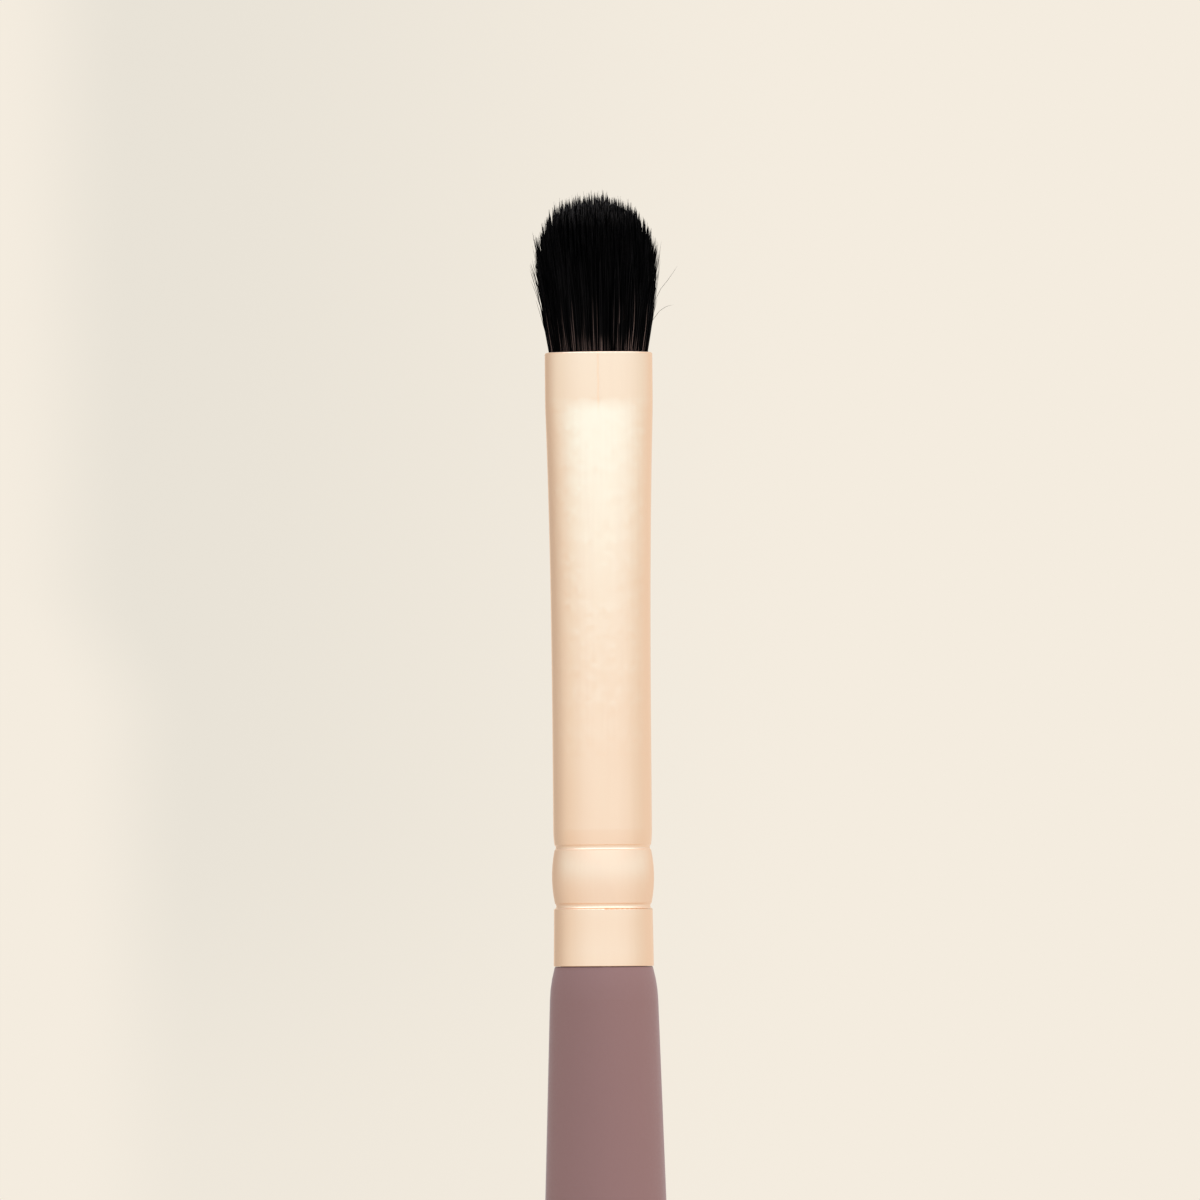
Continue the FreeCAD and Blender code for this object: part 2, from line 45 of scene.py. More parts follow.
# Ferrule: its colours and roughness, and the swelled band between the crimps, which is a little duller.
GOLD_DEEP = (0.93, 0.643, 0.443, 1)
GOLD_LIGHT = (0.955, 0.667, 0.463, 1)
GOLD_DRAWN = (0.93, 0.635, 0.44, 1)
GOLD_REFLECTED_LINE = (0.95, 0.62, 0.41, 1)
GOLD_PIT = (0.62, 0.4, 0.27, 1)
GOLD_GLANCING = (1.0, 0.92, 0.84, 1)
GOLD_ROUGHNESS = (0.15, 0.18)
BAND_DULLER_BY = 0.18
BAND_FOOT = rim - 37.0 * MM
BAND_TOP = rim - 33.1 * MM
BAND_EDGE = 0.2 * MM

# The short bend between the tube and its pressed collar. The shading dips there by a quarter of BEND_DIP,
# to even it out. Its wide sides turn out by a share of what its thin sides turn in.
BEND_HEAD = rim - 3.118 * MM
BEND_FOOT = rim - 4.068 * MM
BEND_DIP = 0.0155 * MM
BEND_WIDE_SHARE = 0.75

# A painted reflection, a faint upright line on the front of the collar: its place, its waver, its half width
# and where it fades in.
REFLECTED_LINE_ACROSS = -0.15 * MM
REFLECTED_LINE_WAVER = 0.22 * MM
REFLECTED_LINE_HALF_WIDTH = (0.02 * MM, 0.12 * MM)
REFLECTED_LINE_FADES_IN = (rim - 4.6 * MM, rim - 3.2 * MM)

# Pits in the metal: how many cells to a metre, the share of cells without one, and the half width in cells.
PIT_CELLS = 330.0
PIT_FREE_SHARE = 0.8
PIT_HALF_WIDTH = (0.012, 0.03)

# Lacquer of the handle.
MAUVE_DEEP = (0.23, 0.114, 0.1, 1)
MAUVE_LIGHT = (0.248, 0.125, 0.11, 1)
MAUVE_ROUGHNESS = (0.52, 0.6)
MAUVE_GLOSS = 0.36
MAUVE_SHEEN = 0.22
MAUVE_SHEEN_ROUGHNESS = 0.3

# Colours of the free hair. A hair's own tone, from 0 to 1, says how grey it is and how far it shows a painted
# brown reflection of the gold rim.
HAIR_BLACK = (0.0003, 0.0002, 0.0002, 1)
HAIR_GREY = (0.0075, 0.0062, 0.006, 1)
HAIR_TIP_HIGHLIGHT = (0.09, 0.076, 0.07, 1)
HAIR_REFLECTED_BROWN = (0.14, 0.088, 0.072, 1)
HAIR_ROUGHNESS = 0.45
HAIR_GLOSS = 0.02
GREY_TONES = (0.4, 1.0)
# Painted reflection of the gold rim: brown on some hairs near their roots, and how high it reaches.
BROWN_TONES = (0.84, 0.88)
BROWN_REACH_TONES = (0.87, 1.02)
BROWN_REACH = (1.0 * MM, 4.8 * MM)
BROWN_FADE = (0.1, 1.0)
# Painted reflection of the gold rim on more hairs, just above it.
RIM_BROWN_TONES = (0.6, 0.84)
RIM_BROWN_SHARE = 0.5
RIM_BROWN_REACH = 1.3 * MM
# Painted highlight on the hair tips high on the dome: where along the hair and at what heights.
TIP_HIGHLIGHT_SHARES = (0.84, 1.0)
TIP_HIGHLIGHT_HEIGHTS = (7.9 * MM, 10.2 * MM)

# Colours of the pieces inside the ferrule.
ROOT_DARK = (0.004, 0.003, 0.003, 1)
ROOT_BROWN = (0.03, 0.02, 0.017, 1)
AMBER_DEEP = (0.5, 0.36, 0.17, 1)
AMBER_LIGHT = (0.6, 0.47, 0.27, 1)
COTTON_SHADE = (0.55, 0.52, 0.46, 1)
COTTON_LIGHT = (0.8, 0.78, 0.72, 1)

# Ways to draw out a noise, and the middle part of its values.
LENGTHWISE = (1, 1, 0.02)
WOUND = (1, 1, 0.4)
UPRIGHT_ONLY = (0, 0, 1)
NOISE_MIDDLE = (0.3, 0.7)

# Free hair, in millimetres from the rim and from the axis.
HAIR_SEED = 11
HAIR_COUNT = 10500
HAIR_PIECES = ("hair_core", "hair_inner", "hair_middle", "hair_outer")
HAIR_RADIUS = 0.027
WIDTH_SPREAD = (0.85, 1.1)
ROOT_DEPTH = 1.5
ROOT_JITTER = 0.006
SWAY = 0.01
MOUTH_HALF_WIDTH = 3.24
MOUTH_HALF_DEPTH = 2.54
FLARE = 0.62
FLARE_REACH = 3.0
DOME_FOOT = 7.0
DOME_HEIGHT = 3.75
DOME_FULLNESS = 2.5
TIP_HEIGHT_SPREAD = 0.2
TUFT_LEAN = -0.25
TUFT_LEAN_POWER = 1.5
STRAND_SHARES = (0.0, 0.22, 0.44, 0.6, 0.72, 0.83, 0.92, 1.0)
TAPER_SHARES = (1.0, 1.0, 1.0, 0.97, 0.9, 0.78, 0.58, 0.15)
GOLDEN_ANGLE = math.pi * (3 - math.sqrt(5))

# Clumps that the tips gather in. Those at the edge of the tuft end lower and lean out.
CLUMP_COUNT = 620
CLUMP_JITTER = 0.015
CLUMP_HEIGHT_SPREAD = 0.16
CLUMP_POINT = 0.6
CLUMP_REACH = 1.5
CLUMP_PULL = (0.75, 1.0)
LOOSE_PULL = (0.5, 1.0)
GATHER_FROM = 0.5
GATHER_POWER = 1.5
EDGE_FROM = 0.75
EDGE_DROP = 2.0
EDGE_DROP_POWER = 3
EDGE_LEAN = 0.13
EDGE_LEAN_SPREAD = (0.2, 1.8)

# Thin hairs that stand a little off the sides of the tuft.
WISP_COUNT = 100
WISP_FROM_MIDDLE = (0.95, 1.0)
WISP_TOP = (3.5, 8.2)
WISP_STAND_OFF = (0.15, 0.6)
WISP_BOW = (1.5, 3.5)
WISP_WIDTH = 0.65
WISP_PALEST_TONE = 0.9

# Hairs that stray from the right side: across, depth and height of the points they pass, in millimetres.
STRAY_WIDTH = 0.5
STRAY_TONE = 0.5
STRAY_HAIRS = (
    (
        (3.02, -0.6, -1.5),
        (3.3, -0.64, 0.2),
        (3.62, -0.68, 2.0),
        (3.9, -0.7, 3.6),
        (4.2, -0.72, 4.2),
        (4.65, -0.74, 4.75),
        (5.05, -0.75, 5.3),
        (5.34, -0.75, 5.75),
    ),
    (
        (3.02, -0.9, -1.5),
        (3.28, -0.94, 0.2),
        (3.45, -0.97, 1.2),
        (3.64, -1.0, 2.1),
        (4.1, -1.02, 2.7),
        (4.46, -1.03, 2.95),
        (4.75, -1.03, 3.06),
        (5.0, -1.03, 3.1),
    ),
    (
        (3.02, -0.3, -1.5),
        (3.28, -0.32, 0.2),
        (3.62, -0.34, 2.2),
        (3.84, -0.35, 3.9),
        (4.0, -0.36, 5.2),
        (4.11, -0.36, 6.2),
        (4.19, -0.36, 6.9),
        (4.28, -0.36, 7.4),
    ),
    (
        (3.02, 0.2, -1.5),
        (3.28, 0.2, 0.2),
        (3.66, 0.2, 2.4),
        (3.9, 0.2, 4.0),
        (4.02, 0.2, 4.8),
        (4.09, 0.2, 5.4),
        (4.14, 0.2, 5.8),
        (4.19, 0.2, 6.2),
    ),
)

# Camera: how far it stands off, how high, and how much of the scene it shows at the brush.
CAMERA_DISTANCE = 0.85
EYE_HEIGHT = 0.1235
VIEW_HEIGHT = 0.08018
FRAME_CENTRE_BELOW_RIM = 0.01654
FRAME_CENTRE_ACROSS = -0.00004
BRUSH_LEAN = math.radians(0.5)
SENSOR = 36.0
NEAREST = 0.01
FARTHEST = 20

# Backdrop: its colours, and its shade in half pictures from the middle of the picture.
CREAM = (0.905, 0.839, 0.738, 1)
CREAM_SHADE = (0.812, 0.765, 0.678, 1)
SHADE_LEFT_EDGE = (-1.0, -0.77)
SHADE_RIGHT_EDGE = (-0.78, 0.42)
SHADE_STEP = 0.1
SHADE_STEP_HEIGHTS = (0.05, -0.2)
SHADE_WEAKER_HEIGHTS = (-0.3, -1.0)
SHADE_WEAKER_SHARE = 0.5

# Walls of the room, and the cosines between which one goes over into the next.
REAR_RIGHT = (0.9, 0.89, 0.88, 1)
REAR_LEFT = (0.62, 0.61, 0.6, 1)
FRONT = (0.88, 0.87, 0.85, 1)
LEFT_TO_RIGHT = (-0.6, 0.4)
FRONT_TO_REAR = (-0.2, 0.9)
WALL_TO_BACKDROP = (0.9, 0.985)

# Brighter places in the room: colour, direction, and the cosines or heights between which each one fades.
AHEAD = (0.12, 0.19, 0.27, 1)
TO_AHEAD = (0.14, -0.99, 0.0)
AHEAD_SPREAD = (-0.15, 1.0)
GLOW = (0.12, 0.54, 0.86, 1)
TO_GLOW = (0.1, -0.995, 0.0)
GLOW_SPREAD = (-0.9, 0.1)
GLOW_FADES_IN = (0.008, 0.118)
GLOW_FADES_OUT = (0.15, 0.26)
CEILING = (0.25, 0.35, 0.5, 1)
CEILING_FADES_IN = (0.3, 0.75)
OVERHEAD = (0.6, 0.8, 1.1, 1)
OVERHEAD_SPREAD = (-0.3, 0.3)
OVERHEAD_FADES_IN = (0.4, 0.58)
OVERHEAD_FADES_OUT = (0.75, 0.9)

# Softbox: where it stands, what it points at, how wide it is and how bright.
FILL = (1.0, 0.98, 0.92)
FILL_SPOT = Vector((0.6, -0.3, 0.75))
FILL_TARGET = Vector((0, 0, 0.1))
FILL_SIZE = 0.5
FILL_POWER = 2.3

# Floor.
FLOOR_LIGHT = (0.64, 0.55, 0.43, 1)
FLOOR_SHADE = (0.62, 0.535, 0.42, 1)
FLOOR_ROUGHNESS = 0.9
FLOOR_RADIUS = 2.0
FLOOR_CORNERS = 96


def add_node(tree, kind, inputs=None, **settings):
    """Adds a node. An input is a plain value or another node's output."""
    node = tree.nodes.new(kind)
    for name, setting in settings.items():
        setattr(node, name, setting)
    for name, value in (inputs or {}).items():
        if isinstance(value, bpy.types.NodeSocket):
            tree.links.new(value, node.inputs[name])
        else:
            node.inputs[name].default_value = value
    return node


def calculate(tree, operation, *values):
    """A sum, product or other operation on numbers and outputs."""
    node = add_node(tree, "ShaderNodeMath", dict(enumerate(values)), operation=operation)
    return node.outputs[0]


def product(tree, first, *others):
    for other in others:
        first = calculate(tree, "MULTIPLY", first, other)
    return first


def fade(tree, value, start, end, low=0.0, high=1.0):
    """Goes smoothly from low to high while value goes from start to end."""
    inputs = {"Value": value, "From Min": start, "From Max": end, "To Min": low, "To Max": high}
    node = add_node(tree, "ShaderNodeMapRange", inputs, interpolation_type="SMOOTHSTEP")
    return node.outputs["Result"]


def fade_out(tree, value, start, end):
    return fade(tree, value, start, end, 1.0, 0.0)


def mix_colours(tree, share, first, second, way="MIX"):
    """Mixes two colours by a share, or adds that share of the second."""
    inputs = {0: share, 6: first, 7: second}
    return add_node(tree, "ShaderNodeMix", inputs, data_type="RGBA", blend_type=way).outputs[2]


def attribute(tree, name):
    return add_node(tree, "ShaderNodeAttribute", attribute_name=name).outputs["Fac"]


def place(tree):
    return add_node(tree, "ShaderNodeTexCoord").outputs["Object"]


def across_along_up(tree, vector):
    parts = add_node(tree, "ShaderNodeSeparateXYZ", {"Vector": vector})
    return parts.outputs["X"], parts.outputs["Y"], parts.outputs["Z"]


def speckle(tree, scale, detail, stretch=(1, 1, 1)):
    """Noise on the object's own coordinates, drawn out along an axis where its stretch is small."""
    drawn = add_node(tree, "ShaderNodeMapping", {"Vector": place(tree), "Scale": stretch}).outputs["Vector"]
    noise = add_node(tree, "ShaderNodeTexNoise", {"Vector": drawn, "Scale": scale, "Detail": detail})
    return noise.outputs["Fac"]


def new_finish(name, **values):
    """A material with one Principled shader, whose plain values are set on its own sockets."""
    material = bpy.data.materials.new(name)
    material.use_nodes = True
    shader = material.node_tree.nodes["Principled BSDF"]
    for socket, value in values.items():
        shader.inputs[socket.replace("_", " ")].default_value = value
    return material, material.node_tree, shader


def colour(tree, shader, output):
    tree.links.new(output, shader.inputs["Base Color"])


def roughen(tree, shader, height, strength, depth):
    bump = add_node(tree, "ShaderNodeBump", {"Height": height, "Strength": strength, "Distance": depth})
    tree.links.new(bump.outputs["Normal"], shader.inputs["Normal"])


def painted_reflection_line(tree):
    """A painted reflection: a faint upright line on the front of the collar, not quite straight."""
    across, along, up = across_along_up(tree, place(tree))
    waver = product(tree, speckle(tree, scale=700, detail=1.0, stretch=UPRIGHT_ONLY), REFLECTED_LINE_WAVER)
    off_line = calculate(tree, "SUBTRACT", calculate(tree, "SUBTRACT", across, REFLECTED_LINE_ACROSS), waver)
    line = fade_out(tree, calculate(tree, "ABSOLUTE", off_line), *REFLECTED_LINE_HALF_WIDTH)
    on_collar = fade(tree, up, *REFLECTED_LINE_FADES_IN)
    in_front = calculate(tree, "LESS_THAN", along, 0.0)
    return product(tree, line, on_collar, in_front)


def pin_pricks(tree):
    """A very few tiny pits, where the middle of a chosen cell lies on the surface."""
    cells = add_node(tree, "ShaderNodeTexVoronoi", {"Vector": place(tree), "Scale": PIT_CELLS})
    lots = add_node(tree, "ShaderNodeSeparateColor", {"Color": cells.outputs["Color"]})
    chosen = calculate(tree, "GREATER_THAN", lots.outputs["Red"], PIT_FREE_SHARE)
    return product(tree, fade_out(tree, cells.outputs["Distance"], *PIT_HALF_WIDTH), chosen)


def ease_bend(tree, shader):
    """Evens the shading of the bend under the collar, which turns in at its thin sides, out at its wide."""
    across, along, up = across_along_up(tree, place(tree))
    limits = {"Value": up, "From Min": BEND_HEAD, "From Max": BEND_FOOT}
    share = add_node(tree, "ShaderNodeMapRange", limits).outputs["Result"]
    thin = product(tree, along, along)
    wide = product(tree, across, across)
    side = calculate(tree, "SUBTRACT", thin, product(tree, wide, BEND_WIDE_SHARE))
    side = calculate(tree, "DIVIDE", side, calculate(tree, "ADD", thin, wide))
    dip = product(tree, share, calculate(tree, "SUBTRACT", 1.0, share), side, -BEND_DIP)
    grain = shader.inputs["Normal"].links[0].from_socket
    inputs = {"Height": dip, "Strength": 1.0, "Distance": 1.0, "Normal": grain}
    bump = add_node(tree, "ShaderNodeBump", inputs)
    tree.links.new(bump.outputs["Normal"], shader.inputs["Normal"])


def satin_gold():
    """Champagne anodised metal with very faint lines along the way the tube was drawn."""
    finish, tree, shader = new_finish("satin_gold", Metallic=1.0, Specular_Tint=GOLD_GLANCING)
    drawn = speckle(tree, scale=4200, detail=2.0, stretch=LENGTHWISE)
    cloud = speckle(tree, scale=160, detail=2.0)
    gold = mix_colours(tree, cloud, GOLD_DEEP, GOLD_LIGHT)
    gold = mix_colours(tree, fade(tree, drawn, start=0.35, end=0.75, high=0.5), gold, GOLD_DRAWN)
    # Painted reflection: a faint line on the collar, on the side facing the camera only.
    gold = mix_colours(tree, painted_reflection_line(tree), gold, GOLD_REFLECTED_LINE)
    colour(tree, shader, mix_colours(tree, pin_pricks(tree), gold, GOLD_PIT))
    up = across_along_up(tree, place(tree))[2]
    band_foot = fade(tree, up, BAND_FOOT - BAND_EDGE, BAND_FOOT + BAND_EDGE)
    band_top = fade_out(tree, up, BAND_TOP - BAND_EDGE, BAND_TOP + BAND_EDGE)
    satin = fade(tree, cloud, *NOISE_MIDDLE, *GOLD_ROUGHNESS)
    duller = product(tree, band_foot, band_top, BAND_DULLER_BY)
    tree.links.new(calculate(tree, "ADD", satin, duller), shader.inputs["Roughness"])
    roughen(tree, shader, drawn, strength=0.01, depth=0.01 * MM)
    ease_bend(tree, shader)
    return finish


def mauve_lacquer():
    """Matte lacquer with a very fine orange peel."""
    finish, tree, shader = new_finish("mauve_lacquer", Specular_IOR_Level=MAUVE_GLOSS)
    shader.inputs["Sheen Weight"].default_value = MAUVE_SHEEN
    shader.inputs["Sheen Roughness"].default_value = MAUVE_SHEEN_ROUGHNESS
    peel = speckle(tree, scale=5200, detail=2.0)
    cloud = speckle(tree, scale=90, detail=3.0)
    colour(tree, shader, mix_colours(tree, cloud, MAUVE_DEEP, MAUVE_LIGHT))
    tree.links.new(fade(tree, peel, *NOISE_MIDDLE, *MAUVE_ROUGHNESS), shader.inputs["Roughness"])
    roughen(tree, shader, peel, strength=0.05, depth=0.03 * MM)
    return finish


def black_hair():
    """Black hair, with a painted highlight at the tips on top. Some hairs get a painted brown reflection of
    the gold rim for a little way above the ferrule.
    """
    finish, tree, shader = new_finish("black_hair", Roughness=HAIR_ROUGHNESS, Specular_IOR_Level=HAIR_GLOSS)
    tone = attribute(tree, "strand")
    up = across_along_up(tree, place(tree))[2]
    height = calculate(tree, "SUBTRACT", up, rim)
    # Painted reflection: brown light bounced from the gold rim onto the hairs near their roots.
    reach = fade(tree, tone, *BROWN_REACH_TONES, *BROWN_REACH)
    near_root = fade_out(tree, calculate(tree, "DIVIDE", height, reach), *BROWN_FADE)
    reflected_brown = product(tree, near_root, fade(tree, tone, *BROWN_TONES))
    at_rim = fade_out(tree, height, 0.0, RIM_BROWN_REACH)
    rim_reflection = product(tree, at_rim, fade(tree, tone, *RIM_BROWN_TONES, high=RIM_BROWN_SHARE))
    dark = mix_colours(tree, fade(tree, tone, *GREY_TONES), HAIR_BLACK, HAIR_GREY)
    # Painted highlight: paler tips high on the dome, where they catch the light.
    tip_highlight = fade(tree, attribute(tree, "along"), *TIP_HIGHLIGHT_SHARES)
    dark = mix_colours(tree, product(tree, tip_highlight, fade(tree, height, *TIP_HIGHLIGHT_HEIGHTS)), dark, HAIR_TIP_HIGHLIGHT)
    colour(tree, shader, mix_colours(tree, calculate(tree, "MAXIMUM", reflected_brown, rim_reflection), dark, HAIR_REFLECTED_BROWN))
    return finish


def bound_hair():
    """The hidden root of the tuft: hairs packed side by side and soaked with glue."""
    finish, tree, shader = new_finish("bound_hair", Roughness=0.5)
    hairs = speckle(tree, scale=9000, detail=2.0, stretch=LENGTHWISE)
    colour(tree, shader, mix_colours(tree, hairs, ROOT_DARK, ROOT_BROWN))
    roughen(tree, shader, hairs, strength=0.4, depth=0.05 * MM)
    return finish


def amber_glue():
    """Set epoxy, a little cloudy, with small bubbles."""
    finish, tree, shader = new_finish("amber_glue", Roughness=0.2)
    cloud = speckle(tree, scale=700, detail=4.0)
    colour(tree, shader, mix_colours(tree, cloud, AMBER_DEEP, AMBER_LIGHT))
    roughen(tree, shader, speckle(tree, scale=4000, detail=1.0), strength=0.2, depth=0.05 * MM)
    return finish


def twisted_thread():
    """Cotton thread with its fibres along the winding."""
    finish, tree, shader = new_finish("twisted_thread", Roughness=0.85)
    fibre = speckle(tree, scale=16000, detail=3.0, stretch=WOUND)
    colour(tree, shader, mix_colours(tree, fibre, COTTON_SHADE, COTTON_LIGHT))
    roughen(tree, shader, fibre, strength=0.5, depth=0.05 * MM)
    return finish


def dress(node_name, finish):
    """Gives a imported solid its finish."""
    mesh = nodes[node_name].data
    mesh.materials.clear()
    mesh.materials.append(finish)


def sunflower(count):
    """Points spread evenly over the unit disc, from the middle outwards."""
    for number in range(count):
        radius = math.sqrt((number + 0.5) / count)
        angle = number * GOLDEN_ANGLE
        yield Vector((radius * math.cos(angle), radius * math.sin(angle), 0))


def scatter(draw, spread):
    return Vector((draw.gauss(0, spread), draw.gauss(0, spread), 0))


def spread_at(height):
    """Half width and half depth of the tuft at a height above the rim, both in millimetres."""
    flare = FLARE * (1 - math.exp(-max(height, 0) / FLARE_REACH))
    return MOUTH_HALF_WIDTH + flare, MOUTH_HALF_DEPTH + flare


def to_metres(across, depth, height):
    """A point given in millimetres from the axis and the rim."""
    return Vector((across, depth, height)) * MM + Vector((0, 0, rim))


def place_of(spot, height, stand_off=0.0):
    """A spot of the unit disc, taken to a height of the tuft and out from it by so many millimetres."""
    half_width, half_depth = spread_at(height)
    out = spot.normalized() * stand_off
    lean = TUFT_LEAN * (max(height, 0) / (DOME_FOOT + DOME_HEIGHT)) ** TUFT_LEAN_POWER
    return to_metres(spot.x * half_width + out.x + lean, spot.y * half_depth + out.y, height)


def dome(radius):
    """Height of the trimmed tuft at a share of its radius."""
    return DOME_FOOT + DOME_HEIGHT * math.sqrt(1 - min(radius, 1) ** DOME_FULLNESS)


def clumps(draw):
    """Spots that tips of neighbouring hairs lean to: a search tree, and each clump's pull, lift and lean."""
    tree = kdtree.KDTree(CLUMP_COUNT)
    habits = []
    for number, spot in enumerate(sunflower(CLUMP_COUNT)):
        tree.insert(spot + scatter(draw, CLUMP_JITTER), number)
        edge = max(0, spot.length - EDGE_FROM) / (1 - EDGE_FROM)
        rise = draw.gauss(0, CLUMP_HEIGHT_SPREAD)
        lift = rise - EDGE_DROP * edge ** EDGE_DROP_POWER * draw.random()
        lean = 1 + EDGE_LEAN * edge * draw.uniform(*EDGE_LEAN_SPREAD)
        habits.append((draw.uniform(*CLUMP_PULL), lift, lean))
    tree.balance()
    return tree, habits


def widths(draw, thin=1.0):
    return [share * thin * draw.uniform(*WIDTH_SPREAD) for share in TAPER_SHARES]


def trimmed_hair(draw, spot, tree, habits):
    """One hair, cut to the dome. Its tip leans to the middle of its clump, where the hairs are longest."""
    own = spot + scatter(draw, ROOT_JITTER)
    centre, number, distance = tree.find(own)
    pull, lift, lean = habits[number]
    from_middle = min(CLUMP_REACH, distance * math.sqrt(CLUMP_COUNT))
    top = dome(own.length) + lift - CLUMP_POINT * from_middle - abs(draw.gauss(0, TIP_HEIGHT_SPREAD))
    loose = draw.uniform(*LOOSE_PULL)
    sway = scatter(draw, SWAY)
    points = []
    for share in STRAND_SHARES:
        gather = max(0, (share - GATHER_FROM) / (1 - GATHER_FROM)) ** GATHER_POWER
        spot_here = own.lerp(centre * lean, gather * pull * loose) + sway * math.sin(math.pi * share)
        points.append(place_of(spot_here, -ROOT_DEPTH + share * (top + ROOT_DEPTH)))
    return points, widths(draw), draw.random()


def wisp(draw):
    """A thin hair that stands a little off the side of the tuft."""
    angle = draw.uniform(0, 2 * math.pi)
    spot = Vector((math.cos(angle), math.sin(angle), 0)) * draw.uniform(*WISP_FROM_MIDDLE)
    top = draw.uniform(*WISP_TOP)
    stand_off = draw.uniform(*WISP_STAND_OFF)
    bow = draw.uniform(*WISP_BOW)
    points = []
    for share in STRAND_SHARES:
        points.append(place_of(spot, -ROOT_DEPTH + share * (top + ROOT_DEPTH), stand_off * share ** bow))
    return points, widths(draw, WISP_WIDTH), draw.random() * WISP_PALEST_TONE


def stray_hair(draw, points):
    return [to_metres(*point) for point in points], widths(draw, STRAY_WIDTH), STRAY_TONE


def strands_to_mesh(name, strands):
    """Tapered tubes, one to a hair, through its points and with its width shares."""
    curve = bpy.data.curves.new(name, "CURVE")
    curve.dimensions = "3D"
    curve.bevel_depth = HAIR_RADIUS * MM
    curve.bevel_resolution = 0
    curve.use_fill_caps = True
    for points, width_shares, _ in strands:
        spline = curve.splines.new("POLY")
        spline.points.add(len(points) - 1)
        spline.points.foreach_set("co", [value for point in points for value in (*point, 1)])
        spline.points.foreach_set("radius", width_shares)
    holder = bpy.data.objects.new(name, curve)
    mesh = bpy.data.meshes.new_from_object(holder)
    bpy.data.objects.remove(holder)
    bpy.data.curves.remove(curve)
    mesh.name = name
    return mesh


def strands_to_piece(name, strands, finish):
    """A piece of the tuft. Each vertex knows its hair's tone and how far along the hair it is."""
    mesh = strands_to_mesh(name, strands)
    corners = len(mesh.vertices) // (len(strands) * len(STRAND_SHARES))
    tones = np.repeat([tone for _, _, tone in strands], corners * len(STRAND_SHARES))
    along = np.tile(np.repeat(STRAND_SHARES, corners), len(strands))
    for layer_name, values in (("strand", tones), ("along", along)):
        layer = mesh.attributes.new(layer_name, "FLOAT", "POINT")
        layer.data.foreach_set("value", values.astype(np.float32))
    mesh.materials.clear()
    mesh.materials.append(finish)
    mesh.shade_smooth()
    piece = bpy.data.objects.new(name, mesh)
    bpy.context.collection.objects.link(piece)
    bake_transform(piece)
    return piece


def domed_tuft(finish):
    """Thousands of hairs trimmed to a dome, with wisps and a few stray hairs at the side."""
    draw = random.Random(HAIR_SEED)
    tree, habits = clumps(draw)
    strands = [trimmed_hair(draw, spot, tree, habits) for spot in sunflower(HAIR_COUNT)]
    strands += [wisp(draw) for _ in range(WISP_COUNT)]
    strands += [stray_hair(draw, points) for points in STRAY_HAIRS]
    size = HAIR_COUNT // len(HAIR_PIECES)
    for number, name in enumerate(HAIR_PIECES):
        end = (number + 1) * size if number + 1 < len(HAIR_PIECES) else len(strands)
        piece = strands_to_piece(name, strands[number * size:end], finish)
        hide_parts("hair_tuft")


def backdrop(tree, across, up):
    """Cream, with a soft shade to the left of the brush that is weaker lower down."""
    half_picture = VIEW_HEIGHT / 2 / CAMERA_DISTANCE
    middle = (rim - FRAME_CENTRE_BELOW_RIM - EYE_HEIGHT) / CAMERA_DISTANCE
    right = calculate(tree, "DIVIDE", across, half_picture)
    above = calculate(tree, "DIVIDE", calculate(tree, "SUBTRACT", up, middle), half_picture)
    step = product(tree, fade(tree, above, *SHADE_STEP_HEIGHTS), SHADE_STEP)
    left_edge = fade(tree, calculate(tree, "SUBTRACT", right, step), *SHADE_LEFT_EDGE)
    right_edge = fade_out(tree, right, *SHADE_RIGHT_EDGE)
    weaker = fade(tree, above, *SHADE_WEAKER_HEIGHTS, 1.0, SHADE_WEAKER_SHARE)
    return mix_colours(tree, product(tree, left_edge, right_edge, weaker), CREAM, CREAM_SHADE)


def towards(tree, direction, light, start, end):
    """How far a direction points to a light, from 0 at the first cosine to 1 at the second."""
    turn = add_node(tree, "ShaderNodeVectorMath", {0: direction, 1: light}, operation="DOT_PRODUCT")
    return fade(tree, turn.outputs["Value"], start, end)


def studio_world():
    """A pale room, the same for every ray: a cream backdrop behind the brush, walls that are brighter in
    front, a low glow and a high light in front, and a bright ceiling."""
    world = bpy.data.worlds.new("studio")
    world.use_nodes = True
    bpy.context.scene.world = world
    tree = world.node_tree
    direction = add_node(tree, "ShaderNodeTexCoord").outputs["Generated"]
    across, along, up = across_along_up(tree, direction)
    rear = mix_colours(tree, fade_out(tree, across, *LEFT_TO_RIGHT), REAR_RIGHT, REAR_LEFT)
    room = mix_colours(tree, fade_out(tree, along, *FRONT_TO_REAR), rear, FRONT)
    low = product(tree, fade(tree, up, *GLOW_FADES_IN), fade_out(tree, up, *GLOW_FADES_OUT))
    high = product(tree, fade(tree, up, *OVERHEAD_FADES_IN), fade_out(tree, up, *OVERHEAD_FADES_OUT))
    lights = (
        (AHEAD, towards(tree, direction, TO_AHEAD, *AHEAD_SPREAD)),
        (GLOW, product(tree, low, towards(tree, direction, TO_GLOW, *GLOW_SPREAD))),
        (CEILING, fade(tree, up, *CEILING_FADES_IN)),
        (OVERHEAD, product(tree, high, towards(tree, direction, TO_AHEAD, *OVERHEAD_SPREAD))),
    )
    for light, share in lights:
        room = mix_colours(tree, share, room, light, "ADD")
    seen = mix_colours(tree, fade(tree, along, *WALL_TO_BACKDROP), room, backdrop(tree, across, up))
    tree.links.new(seen, tree.nodes["Background"].inputs["Color"])


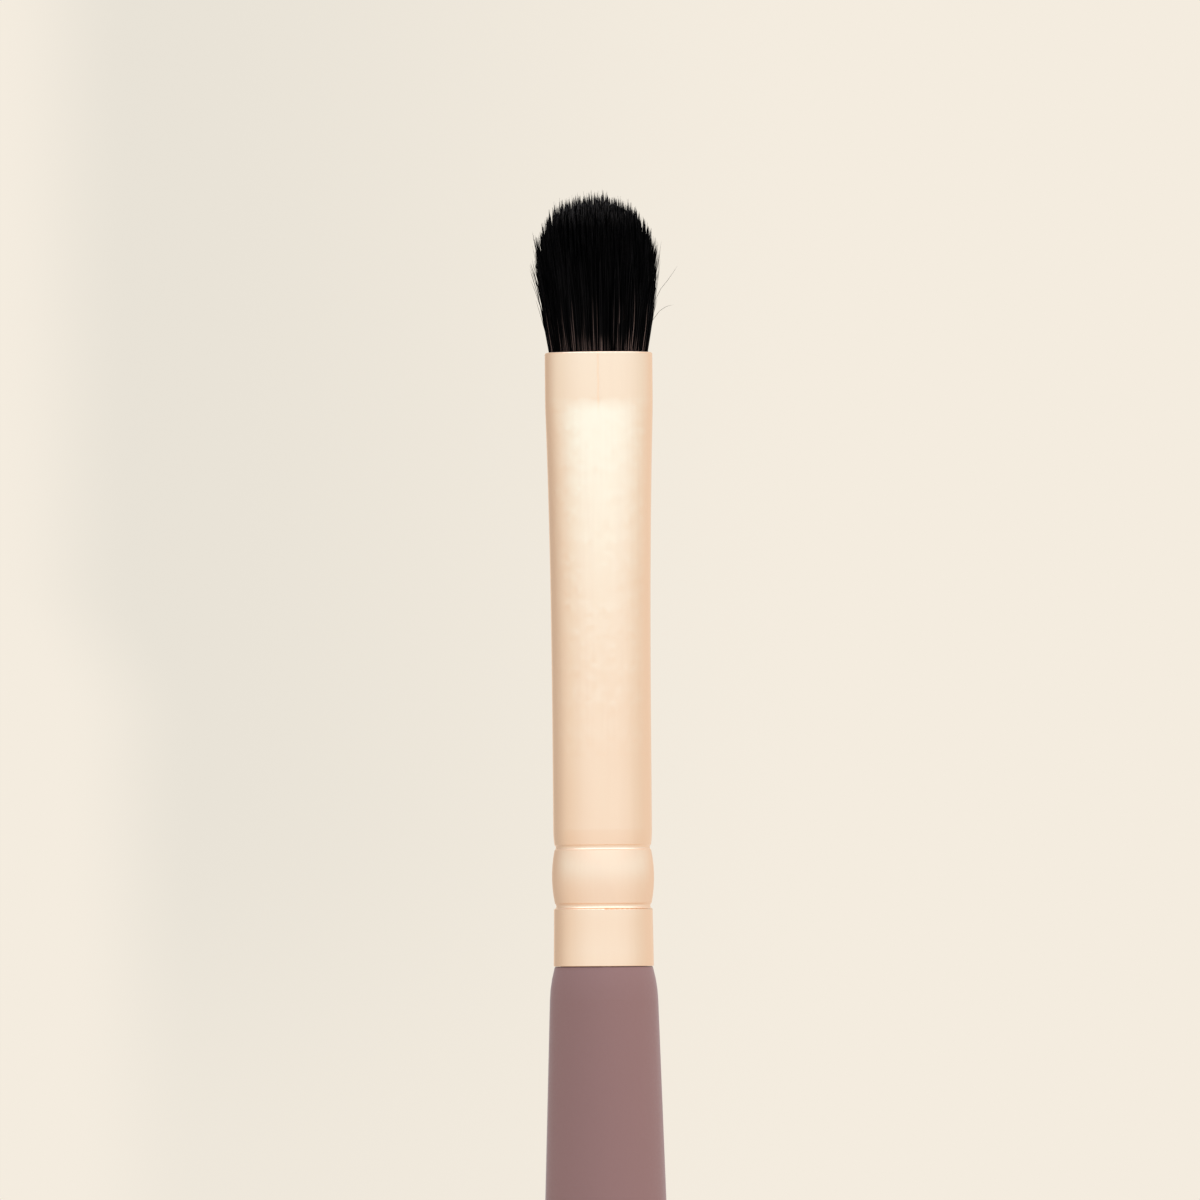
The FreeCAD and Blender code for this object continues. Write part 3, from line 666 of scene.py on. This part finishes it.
def fill_light():
    """A softbox at the right, which the metal doesn't mirror."""
    light = bpy.data.lights.new("fill", "AREA")
    light.shape = "DISK"
    light.size = FILL_SIZE
    light.energy = FILL_POWER
    light.color = FILL
    lamp = bpy.data.objects.new("fill", light)
    lamp.location = FILL_SPOT
    lamp.rotation_euler = (FILL_TARGET - FILL_SPOT).to_track_quat("-Z", "Y").to_euler()
    lamp.visible_camera = False
    lamp.visible_glossy = False
    bpy.context.collection.objects.link(lamp)


def pale_floor():
    """A pale floor under the tail. The metal mirrors the lower part of the room in its place."""
    bpy.ops.mesh.primitive_circle_add(vertices=FLOOR_CORNERS, radius=FLOOR_RADIUS, fill_type="TRIFAN")
    floor = bpy.context.object
    floor.name = "floor"
    finish, tree, shader = new_finish("pale_floor", Roughness=FLOOR_ROUGHNESS)
    fleck = speckle(tree, scale=300, detail=4.0)
    colour(tree, shader, mix_colours(tree, fleck, FLOOR_LIGHT, FLOOR_SHADE))
    floor.data.materials.append(finish)
    floor.visible_glossy = False


def camera():
    """Stands level with the ferrule's lower end, looks a little up, and is turned by the brush's lean."""
    data = bpy.data.cameras.new("camera")
    aim = Vector((FRAME_CENTRE_ACROSS, 0, rim - FRAME_CENTRE_BELOW_RIM))
    spot = Vector((FRAME_CENTRE_ACROSS, -CAMERA_DISTANCE, EYE_HEIGHT))
    data.sensor_width = SENSOR
    data.lens = SENSOR * (aim - spot).length / VIEW_HEIGHT
    data.clip_start = NEAREST
    data.clip_end = FARTHEST
    seat = bpy.data.objects.new("camera", data)
    seat.location = spot
    seat.rotation_euler = (aim - spot).to_track_quat("-Z", "Y").to_euler()
    seat.rotation_euler.rotate_axis("Z", -BRUSH_LEAN)
    bpy.context.collection.objects.link(seat)
    bpy.context.scene.camera = seat


dress("handle", mauve_lacquer())
dress("ferrule", satin_gold())
dress("hair_root", bound_hair())
dress("binding_thread", twisted_thread())
glue = amber_glue()
dress("tenon_glue", glue)
dress("glue_plug", glue)
domed_tuft(black_hair())

studio_world()
fill_light()
pale_floor()
camera()
bpy.context.scene.view_settings.view_transform = "Standard"
